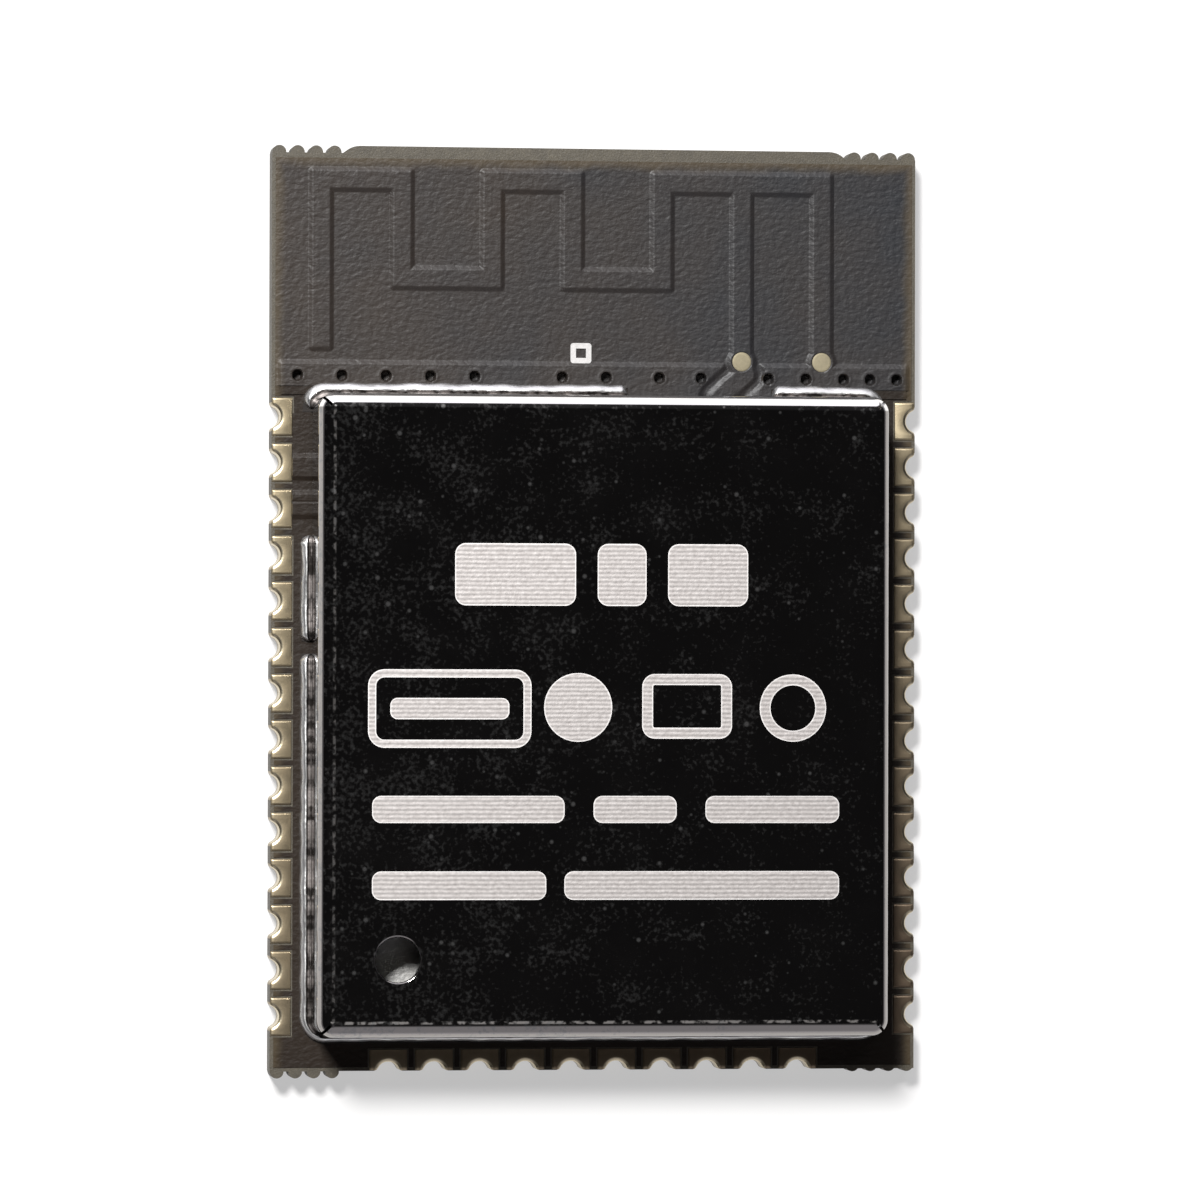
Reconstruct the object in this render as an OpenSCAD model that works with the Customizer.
// Shielded radio module on a castellated board, with a printed antenna.
// +Y points to the antenna end, +Z up. The origin is the middle of the board, on its resting plane.

/* [Board] */
// Width of the board across the antenna
board_w = 18.0; // [16.2:0.1:20]
// Length of the board
board_l = 25.5; // [23:0.1:28]
// Thickness of the bare laminate
laminate_t = 0.73; // [0.5:0.01:1.5]
// Thickness of the plated copper on each side
copper_t = 0.035; // [0.02:0.005:0.07]
// Thickness of the solder mask
mask_t = 0.02; // [0.01:0.005:0.03]
// Gap between a land and the edge of its mask opening
mask_gap = 0.04; // [0.02:0.01:0.06]
// Bare rim that the mask leaves along the antenna end
mask_back_end = 0.34; // [0.1:0.02:0.5]
// Bare rim that the mask leaves along the other edges
mask_back_side = 0.1; // [0.04:0.02:0.16]

/* [Edge pads] */
// Distance between neighbouring pads
pad_pitch = 1.27; // [1.24:0.01:1.4]
// Distance from the board's end to the first side pad
pad_end_gap = 1.5; // [1.4:0.05:1.7]
// Least distance from the board's side to the first pad of the end row
end_row_gap = 3.2; // [3:0.05:4]
// Least distance between the last side pad and the vias beyond it
pad_via_gap = 0.1; // [0.06:0.02:0.3]
// Length of a pad along the edge
pad_w = 1.06; // [0.96:0.02:1.1]
// Reach of the top land from the edge
pad_top_reach = 0.58; // [0.5:0.02:0.6]
// Reach of the bottom land from the edge
pad_bottom_reach = 0.9; // [0.7:0.05:1.2]
// Radius of the plated half hole
notch_r = 0.31; // [0.28:0.01:0.34]
// Distance of the half hole's centre outside the edge
notch_out = 0.06; // [0.02:0.01:0.1]
// Radius of the notch's rounded shoulders
shoulder_r = 0.13; // [0.08:0.01:0.15]
// Thickness of the plating in a hole
plating_t = 0.03; // [0.02:0.005:0.04]

/* [Break-off edges] */
// Distance between the scallops where the board was snapped out of its panel
scallop_pitch = 0.51; // [0.44:0.01:0.54]
// Radius of each rounded tooth between two scallops
tooth_r = 0.19; // [0.16:0.01:0.22]
// Depth of the scallops
scallop_depth = 0.2; // [0.14:0.02:0.24]
// Number of teeth at each corner
teeth = 4; // [2:1:4]
// Distance from the board's side to the first tooth
tooth_start = 0.2; // [0.16:0.02:0.3]
// Radius of the smooth run-out beside the teeth
runout_r = 0.63; // [0.4:0.01:0.8]
// Width of the run-out between the last tooth and the straight edge
runout_w = 0.52; // [0.4:0.02:0.6]
// How far the snapped tab stands out of the pad end, left corner
tab_out_left = 0.2; // [0.06:0.02:0.3]
// How far the snapped tab stands out of the pad end, right corner
tab_out_right = 0.08; // [0.04:0.02:0.3]

/* [Antenna] */
// Width of the antenna track
track_w = 0.45; // [0.3:0.05:0.6]
// Distance from the antenna's top run to the board's end
antenna_end_gap = 0.93; // [0.8:0.01:1.1]
// Distance from the antenna's free end to the board's side
antenna_side_gap = 1.36; // [1.2:0.02:1.5]
// Distance from the antenna's ground leg to the board's side
antenna_ground_gap = 2.65; // [2.5:0.05:2.9]
// Height of the meander
meander_h = 2.7; // [2.2:0.1:3.2]
// Width of the meander's bottom turns
low_turn_w = 2.51; // [2.2:0.01:2.6]
// Distance between the feed leg and the ground leg
leg_gap = 2.25; // [2.0:0.05:2.4]
// Distance from the shield to the antenna's free end
tail_gap = 1.345; // [1.2:0.005:1.8]
// Diameter of the bare round contacts at the legs' feet
contact_d = 0.52; // [0.4:0.02:0.6]
// Width of the copper around each contact
contact_ring = 0.05; // [0.03:0.01:0.08]
// Distance from the shield to the contacts' centres
contact_gap = 1.03; // [0.95:0.01:1.2]

/* [Ground strip, feed and tracks] */
// Reach of the ground strip from the shield
strip_reach = 0.87; // [0.8:0.01:0.9]
// Distance from the shield's wall to the strip
strip_foot_gap = 0.05; // [0.02:0.01:0.1]
// Distance from the strip's ends to the board's sides
strip_side_gap = 0.28; // [0.2:0.02:0.34]
// Distance from the shield to the row of vias
via_gap = 0.56; // [0.5:0.01:0.6]
// Least gap between the strip and an edge pad
strip_pad_gap = 0.1; // [0.06:0.02:0.2]
// Bore of the stitching vias
via_d = 0.3; // [0.2:0.02:0.32]
// Distance from the board's left side to the first via
via_left_gap = 0.71; // [0.6:0.01:0.9]
// Distance between the vias left of the feed passage
via_pitch = 1.23; // [1.1:0.01:1.3]
// Number of vias in the left group
left_vias = 5; // [2:1:5]
// Distance from the feed leg to the first pair of vias
via_far_gap = 5.03; // [4.9:0.01:5.2]
// Distance from the feed leg to the pair inside the feed passage
via_near_gap = 2.31; // [2.2:0.01:2.4]
// Distance between the vias of that pair
via_pair_pitch = 1.17; // [1.0:0.01:1.2]
// Distance from the feed leg to the first via round the ground leg
via_leg_gap = 0.75; // [0.7:0.01:0.9]
// Distance between the vias round the ground leg
via_leg_pitch = 1.06; // [1.0:0.01:1.1]
// Distance from the board's right side to the last pair of vias
via_right_gap = 1.28; // [1.2:0.01:1.3]
// Distance between the vias of the last pair
via_right_pitch = 0.75; // [0.7:0.01:0.8]
// Width of the feed line
feed_w = 0.45; // [0.3:0.05:0.5]
// Gap beside the feed line
feed_clear = 0.36; // [0.3:0.02:0.4]
// How far the feed line leans toward the left on its way to the shield
feed_lean = 0.65; // [0.3:0.05:0.8]
// How far the feed line swings out before it leans
feed_swing = 0.1; // [0:0.05:0.2]
// Length of that swing along the board
feed_swing_l = 0.35; // [0.3:0.05:0.5]
// How far the feed line leans on under the shield
feed_lean_in = 0.2; // [0:0.05:0.3]
// How far the feed line runs in under the shield
feed_reach = 1.0; // [0.9:0.05:1.2]
// Width of the broad track from the second left pad
broad_track_w = 0.5; // [0.3:0.05:0.6]
// Distance of that track's middle below its pad's middle
broad_track_down = 0.11; // [0:0.01:0.2]
// Width of the track from the third left pad
track_3_w = 0.3; // [0.2:0.05:0.3]
// Width of the thin track above it
thin_track_w = 0.15; // [0.1:0.01:0.2]
// Distance of the thin track's middle above its pad's middle
thin_track_up = 0.32; // [0.28:0.01:0.4]
// How far the tracks run in under the shield
track_reach = 1.0; // [0.6:0.1:1.2]

/* [Shield] */
// Distance from the shield to each of the board's sides
can_side_gap = 1.1; // [1.05:0.01:1.3]
// Distance from the shield to the board's antenna end
antenna_zone = 6.9; // [6.4:0.1:7.6]
// Height of the shield's top above the resting plane
can_top = 3.1; // [2.9:0.05:3.6]
// Thickness of the sheet
sheet_t = 0.2; // [0.12:0.01:0.2]
// Outer radius of the fold round the top
fold_r = 0.38; // [0.24:0.02:0.4]
// Outer radius of the upright corners
corner_r = 0.44; // [0.42:0.02:0.6]
// Distance from the shield to the board's pad end
can_end_gap = 1.0; // [0.95:0.01:1.06]
// Width of the slit in each corner
slit_w = 0.08; // [0.04:0.01:0.1]
// Height of the passages in the foot, where tracks run through
passage_h = 0.3; // [0.2:0.05:0.5]
// Reach of the feed passage to the left of the feed leg
passage_left = 3.21; // [2.8:0.01:3.6]
// Reach of the feed passage to the right of the feed leg
passage_right = 0.85; // [0.7:0.01:1.0]
// Reach of the left passage above its first pad's middle
passage_up = 0.14; // [0.05:0.01:0.2]
// Reach of the left passage below its third pad's middle
passage_down = 0.75; // [0.5:0.01:1.0]
// Width of the narrow slot in the left wall's foot
slot_w = 0.34; // [0.2:0.02:0.6]
// Pads between the first side pad from the antenna and the one beside that slot
slot_pad = 5; // [4:1:8]
// Diameter of the vent hole
vent_d = 1.24; // [0.8:0.02:1.5]
// Distance from the shield's left wall to the vent's centre
vent_x_gap = 2.18; // [1.9:0.02:2.5]
// Distance from the shield's pad-end wall to the vent's centre
vent_y_gap = 2.14; // [1.8:0.02:2.5]
// Radius of the vent's rolled rim
vent_rim_r = 0.06; // [0.02:0.01:0.1]
// Reach of the solder land outside the shield
land_out = 0.25; // [0.24:0.01:0.28]
// Reach of the solder land inside the shield's wall
land_in = 0.2; // [0.1:0.02:0.24]
// Width of the solder bead at its foot
bead_w = 0.23; // [0.16:0.01:0.24]
// Height of the solder bead
bead_h = 0.34; // [0.2:0.02:0.5]
// Angle by which the bead wraps round the left corner of the antenna side
wrap_angle = 65; // [40:5:80]

/* [Underside] */
// Side of the square thermal pad
thermal_w = 6.0; // [4.6:0.1:6.4]
// Number of vias along one side of the thermal pad
thermal_vias_n = 3; // [2:1:4]
// Distance between the thermal vias
thermal_via_pitch = 1.3; // [0.9:0.1:1.3]

/* [Processor] */
// Side of the processor's square package
soc_w = 6.0; // [5.6:0.1:6.2]
// Height of the package above the lands
soc_h = 0.85; // [0.7:0.05:1.0]
// Distance of the processor's centre to the left of the board's middle
soc_left = 1.0; // [0.8:0.1:1.2]
// Number of terminals on each side
soc_terms = 12; // [8:1:12]
// Distance between the terminals
soc_pitch = 0.4; // [0.36:0.01:0.42]
// Width of a terminal
soc_term_w = 0.2; // [0.14:0.01:0.22]
// Length of a terminal
soc_term_l = 0.4; // [0.3:0.02:0.5]
// Side of the bare paddle under the package
paddle_w = 4.2; // [3.8:0.1:4.4]
// Height at which the packages stand off the lands
standoff = 0.04; // [0.02:0.01:0.08]
// Thickness of the terminals and of the paddle
terminal_t = 0.2; // [0.1:0.02:0.3]
// Reach of a land beyond the terminal on it
land_toe = 0.2; // [0.1:0.02:0.24]

/* [Memory] */
// Length of the memory's body along its lead rows
flash_l = 4.9; // [4.6:0.1:5.0]
// Width of the memory's body
flash_w = 3.9; // [3.6:0.1:4.0]
// Height of the memory's body
flash_h = 1.4; // [1.2:0.05:1.6]
// Span across the leads
flash_span = 6.0; // [5.8:0.1:6.2]
// Distance between the leads
flash_pitch = 1.27; // [1.2:0.01:1.28]
// Width of a lead
flash_lead_w = 0.4; // [0.3:0.02:0.5]
// Thickness of a lead
flash_lead_t = 0.18; // [0.15:0.01:0.2]
// Length of a lead's foot
flash_foot_l = 0.6; // [0.5:0.02:0.7]
// Gap between the processor and the memory
flash_gap = 1.05; // [0.9:0.05:1.1]
// Gap between the memory and the shield's wall at the pad end
flash_wall_gap = 0.365; // [0.3:0.005:0.5]
// Distance of the memory's centre to the right of the board's middle
flash_right = 2.7; // [2.4:0.1:3.0]
// Bevel along the edges of the memory's body
flash_bevel = 0.12; // [0.05:0.01:0.2]

/* [Crystal] */
// Length of the crystal
crystal_l = 3.2; // [2.8:0.1:3.2]
// Width of the crystal
crystal_w = 2.5; // [2.0:0.1:2.5]
// Height of the ceramic base
crystal_base_h = 0.5; // [0.4:0.05:0.6]
// Height of the metal lid
crystal_lid_h = 0.2; // [0.1:0.02:0.3]
// Width of the ceramic rim round the lid
crystal_rim = 0.15; // [0.1:0.01:0.25]
// Length of each corner terminal
crystal_term_l = 0.9; // [0.7:0.05:1.0]
// Distance of the crystal's centre to the right of the vent's
crystal_right = 0.12; // [0:0.02:0.3]
// Distance of the crystal's centre above the vent's
crystal_up = 0.3; // [0:0.05:0.4]

/* [Small components] */
// Length of a small chip component
chip_l = 1.0; // [0.8:0.05:1.0]
// Width of a small chip component
chip_w = 0.5; // [0.4:0.02:0.54]
// Length of a component's end cap
cap_end_l = 0.25; // [0.15:0.01:0.3]
// Height of a small capacitor
capacitor_h = 0.5; // [0.4:0.02:0.6]
// Height of a resistor
resistor_h = 0.35; // [0.25:0.01:0.4]
// Height of an inductor
inductor_h = 0.55; // [0.4:0.05:0.7]
// How far an end cap stands proud of its body
end_proud = 0.02; // [0.01:0.005:0.03]
// Distance between small components in a row
chip_pitch = 1.0; // [0.8:0.05:1.05]
// Gap between the processor's lands and the components round it
chip_gap = 0.5; // [0.4:0.05:0.6]
// Reach of a small component's land inside its end cap
chip_land_in = 0.1; // [0.05:0.01:0.15]
// Gap between the memory's leads and the resistors beside it
resistor_gap = 1.6; // [1.4:0.1:1.8]
// Gap between the feed line's end and the inductors
inductor_gap = 0.25; // [0.2:0.05:0.5]
// Length of the supply capacitors
bulk_l = 2.0; // [1.8:0.05:2.0]
// Width of the supply capacitors
bulk_w = 1.25; // [1.0:0.05:1.25]
// Height of the supply capacitors
bulk_h = 1.25; // [0.8:0.05:1.4]
// Gap between the two supply capacitors
bulk_gap = 0.8; // [0.6:0.1:1.2]
// Gap between the supply capacitors and the shield's wall
bulk_wall_gap = 0.575; // [0.4:0.005:0.8]

/* [Hidden] */
$fn = 48;
eps = 0.5; // overshoot of a cut past the faces it leaves through

// levels
laminate_z = copper_t;
laminate_top = laminate_z + laminate_t;
land_z = laminate_top + copper_t;
board_t = land_z;

// board outline
side_x = board_w / 2;
antenna_y = board_l / 2;
pad_end_y = -board_l / 2;
first_pad_y = pad_end_y + pad_end_gap;

// notch: the shoulder's centre lies shoulder_r inside the edge and touches the half hole
shoulder_u = sqrt(pow(notch_r + shoulder_r, 2) - pow(shoulder_r + notch_out, 2));

// shield outline
can_w = board_w - 2 * can_side_gap;
can_l = board_l - can_end_gap - antenna_zone;
can_pad_y = pad_end_y + can_end_gap;
can_front_y = can_pad_y + can_l;
can_mid_y = (can_pad_y + can_front_y) / 2;
can_x = can_w / 2;
can_h = can_top - land_z;
vent_x = -can_x + vent_x_gap;
vent_y = can_pad_y + vent_y_gap;

// pads: as many as fit between the corners, and up to the vias beside the shield
via_y = can_front_y + via_gap;
side_room = via_y - via_d / 2 - plating_t - pad_via_gap - pad_w / 2 - first_pad_y;
side_pads = 1 + floor(side_room / pad_pitch);
end_pads = 1 + floor((board_w - 2 * end_row_gap) / pad_pitch);
top_pad_y = first_pad_y + (side_pads - 1) * pad_pitch;

// antenna legs
tail_x = -side_x + antenna_side_gap;
antenna_top_y = antenna_y - antenna_end_gap;
antenna_low_y = antenna_top_y - meander_h;
tail_y = can_front_y + tail_gap + track_w / 2;
turns_w = board_w - antenna_side_gap - antenna_ground_gap - leg_gap;
top_turn_w = (turns_w - 2 * low_turn_w) / 3;
turn2_x = tail_x + top_turn_w;
turn3_x = turn2_x + low_turn_w;
turn4_x = turn3_x + top_turn_w;
turn5_x = turn4_x + low_turn_w;
feed_leg_x = turn5_x + top_turn_w;
ground_leg_x = feed_leg_x + leg_gap;
contact_y = can_front_y + contact_gap;
ANTENNA = [
    [tail_x, tail_y], [tail_x, antenna_top_y],
    [turn2_x, antenna_top_y], [turn2_x, antenna_low_y],
    [turn3_x, antenna_low_y], [turn3_x, antenna_top_y],
    [turn4_x, antenna_top_y], [turn4_x, antenna_low_y],
    [turn5_x, antenna_low_y], [turn5_x, antenna_top_y],
    [ground_leg_x, antenna_top_y], [ground_leg_x, contact_y]
];
FEED_LEG = [[feed_leg_x, antenna_top_y], [feed_leg_x, contact_y]];
CONTACTS = [[feed_leg_x, contact_y], [ground_leg_x, contact_y]];

// feed line: down from its contact, then leaning in under the shield
FEED = [
    [feed_leg_x, contact_y],
    [feed_leg_x + feed_swing, contact_y - feed_swing_l],
    [feed_leg_x - feed_lean, can_front_y],
    [feed_leg_x - feed_lean - feed_lean_in, can_front_y - feed_reach]
];

// stitching vias: [first x, distance, number] of each group
via_groups = [
    [-side_x + via_left_gap, via_pitch, left_vias],
    [feed_leg_x - via_far_gap, via_pitch, 2],
    [feed_leg_x - via_near_gap, via_pair_pitch, 2],
    [feed_leg_x + via_leg_gap, via_leg_pitch, 3],
    [side_x - via_right_gap, via_right_pitch, 2]
];
VIAS = [for (g = via_groups) for (i = [0:g[2] - 1]) [g[0] + i * g[1], via_y]];

// tracks from the second and third left pads: [middle, width]
second_pad_y = top_pad_y - pad_pitch;
third_pad_y = top_pad_y - 2 * pad_pitch;
TRACKS = [
    [second_pad_y - broad_track_down, broad_track_w],
    [third_pad_y + thin_track_up, thin_track_w], [third_pad_y, track_3_w]
];

// stretches of the shield's foot without land or solder
front_gap = [feed_leg_x - passage_left, feed_leg_x + passage_right];
left_gap = [third_pad_y - passage_down, top_pad_y + passage_up];
slot_y = top_pad_y - slot_pad * pad_pitch;
left_slot = [slot_y - slot_w / 2, slot_y + slot_w / 2];

// memory beside the pad-end wall, processor above it, and what is laid out from them
flash_x = flash_right;
flash_y = can_pad_y + sheet_t + flash_wall_gap + flash_l / 2;
soc_x = -soc_left;
soc_y = flash_y + flash_l / 2 + flash_gap + soc_w / 2;
soc_land_l = soc_term_l + land_toe;
soc_reach = soc_w / 2 + land_toe;
chip_land_l = chip_land_in + cap_end_l + land_toe / 2;
chip_row_y = soc_y + soc_reach + chip_gap + chip_l / 2;
chip_right_x = soc_x + soc_reach + chip_gap + chip_l / 2;
chip_left_x = soc_x - soc_reach - chip_gap - chip_l / 2;
crystal_x = vent_x + crystal_right;
crystal_y = vent_y + crystal_up;
resistor_x = flash_x - flash_span / 2 - resistor_gap - chip_l / 2;
bulk_x = can_x - sheet_t - bulk_wall_gap - bulk_w / 2;
bulk_step = bulk_l + bulk_gap;
inductor_y = can_front_y - feed_reach - inductor_gap - chip_l / 2;

function chip_row(start, step, n, turn) =
    [for (i = [0:n - 1]) [start[0] + i * step[0], start[1] + i * step[1], turn]];
CAPACITORS = concat(
    chip_row([soc_x - 2 * chip_pitch, chip_row_y], [chip_pitch, 0], 5, 90),
    chip_row([chip_right_x, soc_y - 2.5 * chip_pitch], [0, chip_pitch], 6, 0),
    chip_row([chip_left_x, soc_y - 2.5 * chip_pitch], [0, chip_pitch], 6, 0)
);
RESISTORS = concat(
    chip_row([resistor_x, flash_y - 1.5 * chip_pitch], [0, chip_pitch], 4, 0),
    chip_row([soc_x - 4 * chip_pitch, chip_row_y], [chip_pitch, 0], 2, 90)
);
INDUCTORS = chip_row([FEED[3][0] - chip_pitch, inductor_y], [chip_pitch, 0], 2, 90);
BULKS = chip_row([bulk_x, soc_y - bulk_step / 2], [0, bulk_step], 2, 90);

// ---------------------------------------------------------------- shared outlines

// a straight track between two points, with round ends
module track_2d(from, to, w) {
    run = to - from;
    translate(from) rotate(atan2(run[1], run[0])) translate([0, -w / 2]) square([norm(run), w]);
    translate(from) circle(d = w);
    translate(to) circle(d = w);
}

module path_2d(points, w) {
    for (i = [0:len(points) - 2]) track_2d(points[i], points[i + 1], w);
}

// a meander with square corners: each run is lengthened by half its width
module square_path_2d(points, w) {
    for (i = [0:len(points) - 2]) {
        low = [min(points[i][0], points[i + 1][0]), min(points[i][1], points[i + 1][1])];
        high = [max(points[i][0], points[i + 1][0]), max(points[i][1], points[i + 1][1])];
        translate(low - [w / 2, w / 2]) square(high - low + [w, w]);
    }
}

module antenna_2d(grow) {
    square_path_2d(ANTENNA, track_w + 2 * grow);
    square_path_2d(FEED_LEG, track_w + 2 * grow);
    for (c = CONTACTS) translate(c) circle(d = contact_d + 2 * (contact_ring + grow));
}

module feed_2d(grow) {
    path_2d(FEED, feed_w + 2 * grow);
}

// ground strip in front of the shield, open round the feed line
module ground_strip_2d(grow) {
    reach = side_x - strip_side_gap + grow;
    difference() {
        translate([-reach, can_front_y + strip_foot_gap - grow])
            square([2 * reach, strip_reach - strip_foot_gap + 2 * grow]);
        feed_2d(feed_clear - grow);
        at_all_pads() pad_land_2d(pad_top_reach, strip_pad_gap - grow);
    }
}

module tracks_2d(grow) {
    for (t = TRACKS)
        translate([-side_x + pad_top_reach, t[0] - t[1] / 2 - grow])
            square([can_side_gap - pad_top_reach + sheet_t + track_reach, t[1] + 2 * grow]);
}

module rounded_2d(w, l, r) {
    for (sx = [-1, 1]) for (sy = [-1, 1]) translate([sx * (w / 2 - r), sy * (l / 2 - r)]) circle(r = r);
    square([w - 2 * r, l], center = true);
    square([w, l - 2 * r], center = true);
}

// stretches of the shield's foot that carry no land, solder or wall
module foot_gaps_2d() {
    translate([front_gap[0], can_front_y - 1]) square([front_gap[1] - front_gap[0], 2]);
    for (g = [left_gap, left_slot]) translate([-can_x - 1, g[0]]) square([2, g[1] - g[0]]);
}

// ring of land under the shield's foot
module shield_ring_2d(grow) {
    out = land_out + grow;
    inner = sheet_t + land_in + grow;
    difference() {
        translate([0, can_mid_y]) difference() {
            rounded_2d(can_w + 2 * out, can_l + 2 * out, corner_r + out);
            square([can_w - 2 * inner, can_l - 2 * inner], center = true);
        }
        foot_gaps_2d();
    }
}

// the notch of one edge pad: x along the edge, y into the board; grow widens it by the plating
module notch_2d(grow) {
    k = (notch_r + grow) / (notch_r + shoulder_r);
    touch = [shoulder_u * k, (shoulder_r + notch_out) * k - notch_out];
    translate([0, -notch_out]) circle(r = notch_r + grow);
    difference() {
        polygon([
            [-shoulder_u, -eps], [shoulder_u, -eps], [shoulder_u, grow], touch,
            [-touch[0], touch[1]], [-shoulder_u, grow]
        ]);
        for (s = [-1, 1]) translate([s * shoulder_u, shoulder_r]) circle(r = shoulder_r - grow);
    }
}

// children stand at each pad of one edge, with x along the edge and y into the board
module at_left_pads() {
    for (i = [0:side_pads - 1])
        translate([-side_x, first_pad_y + i * pad_pitch]) rotate(-90) children();
}

module at_right_pads() {
    for (i = [0:side_pads - 1])
        translate([side_x, first_pad_y + i * pad_pitch]) rotate(90) children();
}

module at_end_pads() {
    for (i = [0:end_pads - 1])
        translate([(i - (end_pads - 1) / 2) * pad_pitch, pad_end_y]) children();
}

module at_all_pads() {
    at_left_pads() children();
    at_right_pads() children();
    at_end_pads() children();
}

// land of one pad, from the edge inward
module pad_land_2d(reach, grow) {
    translate([-pad_w / 2 - grow, -grow]) square([pad_w + 2 * grow, reach + 2 * grow]);
}

// one row of snapped teeth along a corner, in the right-hand corner of the antenna end
module teeth_2d(depth) {
    for (i = [0:teeth - 1])
        translate([side_x - tooth_start - i * scallop_pitch, antenna_y - tooth_r]) circle(r = tooth_r);
    translate([side_x - tooth_start, antenna_y - depth - tooth_r]) square([tooth_start, tooth_r]);
}

// snapped corner of the antenna end: teeth, then a smooth run-out into the straight edge
module snapped_corner_2d() {
    flat_x = side_x - tooth_start - (teeth - 1) * scallop_pitch - tooth_r - runout_w;
    difference() {
        translate([flat_x, antenna_y - scallop_depth]) square([side_x - flat_x + eps, scallop_depth + eps]);
        translate([flat_x, antenna_y - runout_r]) circle(r = runout_r);
        teeth_2d(scallop_depth);
    }
}

// stub of the snapped tab at a corner of the pad end, in the right-hand corner
module tab_stub_2d(out) {
    stub_l = (teeth - 1) * scallop_pitch + tooth_start;
    translate([side_x - stub_l, pad_end_y - out + tooth_r]) square([stub_l, out]);
    for (i = [0:teeth - 1])
        translate([side_x - tooth_start - i * scallop_pitch, pad_end_y - out + tooth_r]) circle(r = tooth_r);
}

module board_2d() {
    difference() {
        union() {
            square([board_w, board_l], center = true);
            tab_stub_2d(tab_out_right);
            mirror([1, 0]) tab_stub_2d(tab_out_left);
        }
        snapped_corner_2d();
        mirror([1, 0]) snapped_corner_2d();
        at_all_pads() notch_2d(plating_t);
    }
}

module via_holes_2d(d) {
    for (v = VIAS) translate(v) circle(d = d);
}

module at_thermal_vias() {
    middle = (thermal_vias_n - 1) / 2;
    for (i = [0:thermal_vias_n - 1]) for (j = [0:thermal_vias_n - 1])
        translate([soc_x + (i - middle) * thermal_via_pitch, soc_y + (j - middle) * thermal_via_pitch])
            children();
}

// lands under the parts inside the shield
module chip_lands_2d(places, l, w, grow) {
    for (c = places) translate([c[0], c[1]]) rotate(c[2]) for (s = [-1, 1])
        translate([s * (l / 2 - cap_end_l - chip_land_in) - (s < 0 ? chip_land_l : 0) - grow, -w / 2 - grow])
            square([chip_land_l + 2 * grow, w + 2 * grow]);
}

module at_soc_terminals() {
    for (side = [0:3]) translate([soc_x, soc_y]) rotate(90 * side) for (i = [0:soc_terms - 1])
        translate([(i - (soc_terms - 1) / 2) * soc_pitch, -soc_w / 2]) children();
}

module at_flash_leads() {
    for (s = [0, 180]) translate([flash_x, flash_y]) rotate(s) for (i = [0:3])
        translate([flash_span / 2, (i - 1.5) * flash_pitch]) children();
}

module at_crystal_corners() {
    for (sx = [0, 1]) for (sy = [0, 1])
        translate([crystal_x, crystal_y]) mirror([sx, 0]) mirror([0, sy])
            translate([crystal_w / 2, crystal_l / 2]) children();
}

module component_lands_2d(grow) {
    chip_lands_2d(CAPACITORS, chip_l, chip_w, grow);
    chip_lands_2d(RESISTORS, chip_l, chip_w, grow);
    chip_lands_2d(INDUCTORS, chip_l, chip_w, grow);
    chip_lands_2d(BULKS, bulk_l, bulk_w, grow);
    at_soc_terminals()
        translate([-soc_term_w / 2 - grow / 2, -land_toe - grow])
            square([soc_term_w + grow, soc_land_l + 2 * grow]);
    translate([soc_x, soc_y]) square(paddle_w + 2 * grow, center = true);
    at_flash_leads()
        translate([-flash_foot_l - land_toe / 2 - grow, -flash_lead_w / 2 - grow])
            square([flash_foot_l + 1.5 * land_toe + 2 * grow, flash_lead_w + 2 * grow]);
    at_crystal_corners()
        translate([-crystal_term_l - grow, -crystal_term_l - grow])
            square(crystal_term_l + land_toe / 2 + 2 * grow);
}

// ---------------------------------------------------------------- board

module laminate() {
    color("#77705a") translate([0, 0, laminate_z]) linear_extrude(laminate_t) difference() {
        board_2d();
        via_holes_2d(via_d + 2 * plating_t);
        at_thermal_vias() circle(d = via_d + 2 * plating_t);
    }
}

// mask sheet of one side, before its openings
module mask_sheet_2d() {
    w = board_w - 2 * mask_back_side;
    translate([-w / 2, pad_end_y + mask_back_side])
        square([w, board_l - mask_back_side - mask_back_end]);
}

module mask_top_field_2d() {
    difference() {
        mask_sheet_2d();
        at_all_pads() pad_land_2d(pad_top_reach, mask_gap);
        shield_ring_2d(0);
        via_holes_2d(via_d);
        for (c = CONTACTS) translate(c) circle(d = contact_d);
        component_lands_2d(mask_gap);
    }
}

module copper_under_mask_2d(grow) {
    antenna_2d(grow);
    feed_2d(grow);
    ground_strip_2d(grow);
    tracks_2d(grow);
    via_holes_2d(via_d + 2 * (plating_t + grow));
}

// the mask lies on the laminate and climbs over each track
module solder_mask_top() {
    color("#3c3b3b") translate([0, 0, laminate_top]) difference() {
        union() {
            linear_extrude(mask_t) mask_top_field_2d();
            linear_extrude(copper_t + mask_t) intersection() {
                mask_top_field_2d();
                copper_under_mask_2d(mask_t);
            }
        }
        translate([0, 0, -eps]) linear_extrude(copper_t + eps) copper_under_mask_2d(0);
    }
}

module solder_mask_bottom() {
    color("#3c3b3b") translate([0, 0, laminate_z - mask_t]) linear_extrude(mask_t) difference() {
        mask_sheet_2d();
        at_all_pads() pad_land_2d(pad_bottom_reach, mask_gap);
        via_holes_2d(via_d + 2 * plating_t);
        translate([soc_x, soc_y]) square(thermal_w + 2 * mask_gap, center = true);
    }
}

// one castellated pad: land on top, plated half hole, land underneath
module edge_pad() {
    difference() {
        union() {
            linear_extrude(copper_t) pad_land_2d(pad_bottom_reach, 0);
            translate([0, 0, laminate_top]) linear_extrude(copper_t) pad_land_2d(pad_top_reach, 0);
            linear_extrude(board_t) intersection() {
                notch_2d(plating_t);
                translate([-pad_w / 2, 0]) square([pad_w, pad_top_reach]);
            }
        }
        translate([0, 0, -eps]) linear_extrude(board_t + 2 * eps) notch_2d(0);
    }
}

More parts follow.
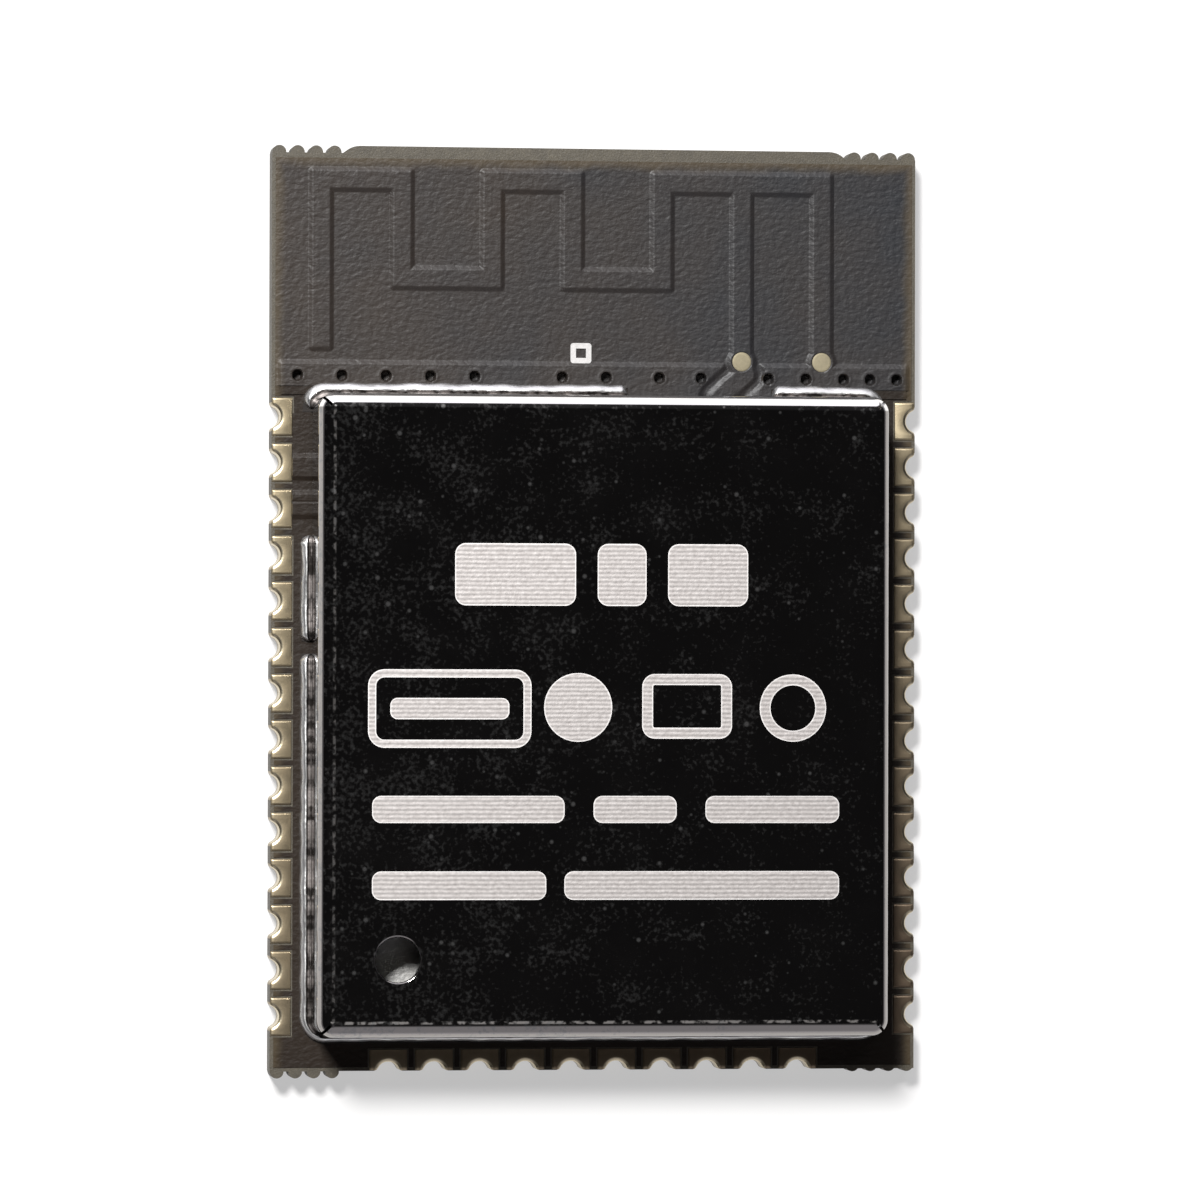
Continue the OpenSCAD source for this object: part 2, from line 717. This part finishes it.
module left_edge_pads() {
    color("#b5aa8f") at_left_pads() edge_pad();
}

module right_edge_pads() {
    color("#b5aa8f") at_right_pads() edge_pad();
}

module bottom_edge_pads() {
    color("#b5aa8f") at_end_pads() edge_pad();
}

module thermal_pad() {
    color("#c8a860") linear_extrude(copper_t) difference() {
        translate([soc_x, soc_y]) square(thermal_w, center = true);
        at_thermal_vias() circle(d = via_d + 2 * plating_t);
    }
}

module barrel(z, h) {
    translate([0, 0, z]) linear_extrude(h) difference() {
        circle(d = via_d + 2 * plating_t);
        circle(d = via_d);
    }
}

module thermal_vias() {
    color("#c8a860") at_thermal_vias() barrel(0, board_t);
}

module stitching_vias() {
    color("#a08c5a") for (v = VIAS) translate(v) barrel(laminate_z, board_t - laminate_z);
}

// ---------------------------------------------------------------- copper on top

module ground_strip() {
    color("#8a6a45") translate([0, 0, laminate_top]) linear_extrude(copper_t) difference() {
        ground_strip_2d(0);
        shield_ring_2d(0);
        antenna_2d(0);
        via_holes_2d(via_d + 2 * plating_t);
    }
}

module feed_line() {
    color("#8a6a45") translate([0, 0, laminate_top]) linear_extrude(copper_t) difference() {
        feed_2d(0);
        antenna_2d(0);
        component_lands_2d(0);
    }
}

module signal_traces() {
    color("#8a6a45") translate([0, 0, laminate_top]) linear_extrude(copper_t) tracks_2d(0);
}

module antenna_trace() {
    color("#8a6a45") translate([0, 0, laminate_top]) linear_extrude(copper_t) antenna_2d(0);
}

module antenna_contacts() {
    color("#cfc4a0") for (c = CONTACTS)
        translate([c[0], c[1], land_z]) cylinder(d = contact_d - mask_gap, h = mask_t);
}

module shield_land() {
    color("#b5aa8f") translate([0, 0, laminate_top]) linear_extrude(copper_t) shield_ring_2d(0);
}

// ---------------------------------------------------------------- shield

// section of the shield's wall and fold, from the corner's axis outward
module wall_section_2d() {
    difference() {
        fold_outline_2d(corner_r, can_h, fold_r);
        translate([-eps, -eps])
            fold_outline_2d(corner_r - sheet_t + eps, can_h - sheet_t + eps, fold_r - sheet_t);
    }
}

module fold_outline_2d(w, h, r) {
    square([w - r, h]);
    square([w, h - r]);
    translate([w - r, h - r]) intersection() {
        circle(r = r);
        square(2 * r);
    }
}

// straight wall with its fold, centred on x, with its outside toward +y
module wall_run(l) {
    rotate([90, 0, 90]) linear_extrude(l, center = true) wall_section_2d();
}

module shield_body() {
    inner_w = can_w - 2 * corner_r;
    inner_l = can_l - 2 * corner_r;
    translate([-inner_w / 2, -inner_l / 2, can_h - sheet_t]) cube([inner_w, inner_l, sheet_t]);
    for (s = [0, 180]) {
        rotate(s) translate([0, inner_l / 2, 0]) wall_run(inner_w);
        rotate(s + 90) translate([0, inner_w / 2, 0]) wall_run(inner_l);
    }
    for (q = [[1, 1, 0], [-1, 1, 90], [-1, -1, 180], [1, -1, 270]])
        translate([q[0] * inner_w / 2, q[1] * inner_l / 2, 0]) rotate(q[2])
            rotate_extrude(angle = 90) wall_section_2d();
}

// vent hole with a rolled upper rim
module vent_cut() {
    r = vent_d / 2;
    translate([0, 0, can_top - sheet_t - eps]) cylinder(r = r, h = sheet_t + 2 * eps);
    translate([0, 0, can_top]) rotate_extrude() difference() {
        translate([r / 2, -vent_rim_r]) square([r / 2 + vent_rim_r, vent_rim_r + eps]);
        translate([r + vent_rim_r, -vent_rim_r]) circle(r = vent_rim_r);
    }
}

// slit up each corner and through the fold, where two folded walls meet
module corner_slits() {
    for (q = [[1, 1], [-1, 1], [-1, -1], [1, -1]])
        translate([q[0] * (can_x - corner_r), can_mid_y + q[1] * (can_l / 2 - corner_r), land_z - eps])
            rotate(atan2(q[1], q[0])) translate([corner_r - sheet_t - 0.1, -slit_w / 2, 0])
                cube([sheet_t + 0.3, slit_w, can_h + 2 * eps]);
}

module shield_can() {
    color("#8d8b8c") difference() {
        translate([0, can_mid_y, land_z]) shield_body();
        translate([vent_x, vent_y, 0]) vent_cut();
        corner_slits();
        translate([0, 0, land_z - eps]) linear_extrude(passage_h + eps) foot_gaps_2d();
    }
}

// ---------------------------------------------------------------- shield solder

// section of the bead: foot on the land, back against the wall, round face outward
module bead_2d() {
    r = (pow(bead_w, 2) + pow(bead_h, 2)) / (2 * bead_w);
    intersection() {
        square([2 * bead_w, 2 * bead_h]);
        translate([bead_w - r, 0]) circle(r = r);
    }
}

// bead along the wall that faces +y, from x = a to x = b, with round ends where they are asked for
module bead_run(a, b, round_a, round_b) {
    translate([a, 0, 0]) rotate([90, 0, 90]) linear_extrude(b - a) bead_2d();
    if (round_a) translate([a, 0, 0]) rotate(90) rotate_extrude(angle = 90) bead_2d();
    if (round_b) translate([b, 0, 0]) rotate_extrude(angle = 90) bead_2d();
}

// bead round an upright corner, as far as the angle given
module bead_corner(angle) {
    rotate_extrude(angle = angle) translate([corner_r, 0]) bead_2d();
}

module shield_solder() {
    flat_x = can_x - corner_r;
    flat_y = can_l / 2 - corner_r;
    left_low = left_gap[0] - can_mid_y;
    slot_top = left_slot[1] - can_mid_y;
    slot_low = left_slot[0] - can_mid_y;
    color("#d5d5d4") translate([0, can_mid_y, land_z]) {
        // antenna side, left of the feed passage, ending part of the way round the corner
        translate([0, can_l / 2, 0]) bead_run(-flat_x, front_gap[0] - bead_w, false, true);
        translate([-flat_x, flat_y, 0]) rotate(90) bead_corner(wrap_angle);
        translate([-flat_x, flat_y, 0]) rotate(90 + wrap_angle) translate([corner_r, 0, 0])
            rotate_extrude(angle = 90) bead_2d();
        // antenna side, right of the feed passage, round the corner and down the whole right side
        translate([0, can_l / 2, 0]) bead_run(front_gap[1] + bead_w, flat_x, true, false);
        translate([flat_x, flat_y, 0]) bead_corner(90);
        rotate(-90) translate([0, can_x, 0]) bead_run(-flat_y, flat_y, false, false);
        translate([flat_x, -flat_y, 0]) rotate(-90) bead_corner(90);
        // pad end
        rotate(180) translate([0, can_l / 2, 0]) bead_run(-flat_x, flat_x, false, false);
        translate([-flat_x, -flat_y, 0]) rotate(180) bead_corner(90);
        // left side, on both sides of the slot
        rotate(90) translate([0, can_x, 0]) bead_run(-flat_y, slot_low - bead_w, false, true);
        rotate(90) translate([0, can_x, 0]) bead_run(slot_top + bead_w, left_low - bead_w, true, true);
    }
}

// ---------------------------------------------------------------- under the shield

module component_lands() {
    color("#b5aa8f") translate([0, 0, laminate_top]) linear_extrude(copper_t) difference() {
        component_lands_2d(0);
        at_thermal_vias() circle(d = via_d + 2 * plating_t);
    }
}

module soc_package() {
    color("#262628") difference() {
        translate([soc_x - soc_w / 2, soc_y - soc_w / 2, land_z + standoff])
            cube([soc_w, soc_w, soc_h - standoff]);
        soc_terminals();
        soc_paddle();
    }
}

module soc_terminals() {
    color("#c9c9c4") at_soc_terminals()
        translate([-soc_term_w / 2, 0, land_z]) cube([soc_term_w, soc_term_l, terminal_t]);
}

module soc_paddle() {
    color("#c9c9c4") translate([soc_x - paddle_w / 2, soc_y - paddle_w / 2, land_z])
        cube([paddle_w, paddle_w, terminal_t]);
}

module flash_package() {
    bevel = flash_bevel;
    base = land_z + standoff;
    color("#262628") translate([flash_x, flash_y, base]) rotate([90, 0, 0])
        linear_extrude(flash_l, center = true) polygon([
            [-flash_w / 2 + bevel, 0], [flash_w / 2 - bevel, 0],
            [flash_w / 2, flash_h / 2], [flash_w / 2 - bevel, flash_h],
            [-flash_w / 2 + bevel, flash_h], [-flash_w / 2, flash_h / 2]
        ]);
}

// gull-wing leads: foot on its land, upright, shoulder into the body's middle
module flash_leads() {
    t = flash_lead_t;
    shoulder_z = standoff + flash_h / 2;
    run = (flash_span - flash_w) / 2;
    rise_x = -flash_foot_l;
    color("#c9c9c4") at_flash_leads() translate([0, 0, land_z]) rotate([90, 0, 0])
        linear_extrude(flash_lead_w, center = true) polygon([
            [0, 0], [0, t], [rise_x + t, t], [rise_x, shoulder_z + t / 2], [-run, shoulder_z + t / 2],
            [-run, shoulder_z - t / 2], [rise_x - t, shoulder_z - t / 2], [rise_x, 0]
        ]);
}

module crystal_base() {
    color("#d8d2c4") translate([crystal_x - crystal_w / 2, crystal_y - crystal_l / 2, land_z + standoff])
        cube([crystal_w, crystal_l, crystal_base_h]);
}

module crystal_lid() {
    color("#d2d2d0") translate([crystal_x, crystal_y, land_z + standoff + crystal_base_h])
        linear_extrude(crystal_lid_h)
            rounded_2d(crystal_w - 2 * crystal_rim, crystal_l - 2 * crystal_rim, crystal_rim);
}

module crystal_terminals() {
    color("#cdb36c") at_crystal_corners()
        translate([-crystal_term_l, -crystal_term_l, land_z])
            cube([crystal_term_l, crystal_term_l, standoff]);
}

// body and end caps of two-ended chip components
module chip_body(places, l, w, h) {
    for (c = places) translate([c[0], c[1], land_z + end_proud]) rotate(c[2])
        translate([-l / 2 + cap_end_l, -w / 2 + end_proud, 0])
            cube([l - 2 * cap_end_l, w - 2 * end_proud, h - 2 * end_proud]);
}

module chip_ends(places, l, w, h) {
    for (c = places) translate([c[0], c[1], land_z]) rotate(c[2]) for (s = [0, 180])
        rotate(s) translate([l / 2 - cap_end_l, -w / 2, 0]) cube([cap_end_l, w, h]);
}

module capacitor_bodies() {
    color("#a5825c") chip_body(CAPACITORS, chip_l, chip_w, capacitor_h);
}

module capacitor_ends() {
    color("#c9c9c4") chip_ends(CAPACITORS, chip_l, chip_w, capacitor_h);
}

module bulk_capacitor_body() {
    color("#a5825c") chip_body(BULKS, bulk_l, bulk_w, bulk_h);
}

module bulk_capacitor_ends() {
    color("#c9c9c4") chip_ends(BULKS, bulk_l, bulk_w, bulk_h);
}

module resistor_bodies() {
    color("#26262a") chip_body(RESISTORS, chip_l, chip_w, resistor_h);
}

module resistor_ends() {
    color("#c9c9c4") chip_ends(RESISTORS, chip_l, chip_w, resistor_h);
}

module inductor_bodies() {
    color("#4c5a66") chip_body(INDUCTORS, chip_l, chip_w, inductor_h);
}

module inductor_ends() {
    color("#c9c9c4") chip_ends(INDUCTORS, chip_l, chip_w, inductor_h);
}

// ---------------------------------------------------------------- assembly

laminate();
solder_mask_top();
solder_mask_bottom();
left_edge_pads();
right_edge_pads();
bottom_edge_pads();
thermal_pad();
thermal_vias();
stitching_vias();
ground_strip();
feed_line();
signal_traces();
antenna_trace();
antenna_contacts();
shield_land();
shield_can();
shield_solder();
component_lands();
soc_package();
soc_terminals();
soc_paddle();
flash_package();
flash_leads();
crystal_base();
crystal_lid();
crystal_terminals();
capacitor_bodies();
capacitor_ends();
bulk_capacitor_body();
bulk_capacitor_ends();
resistor_bodies();
resistor_ends();
inductor_bodies();
inductor_ends();
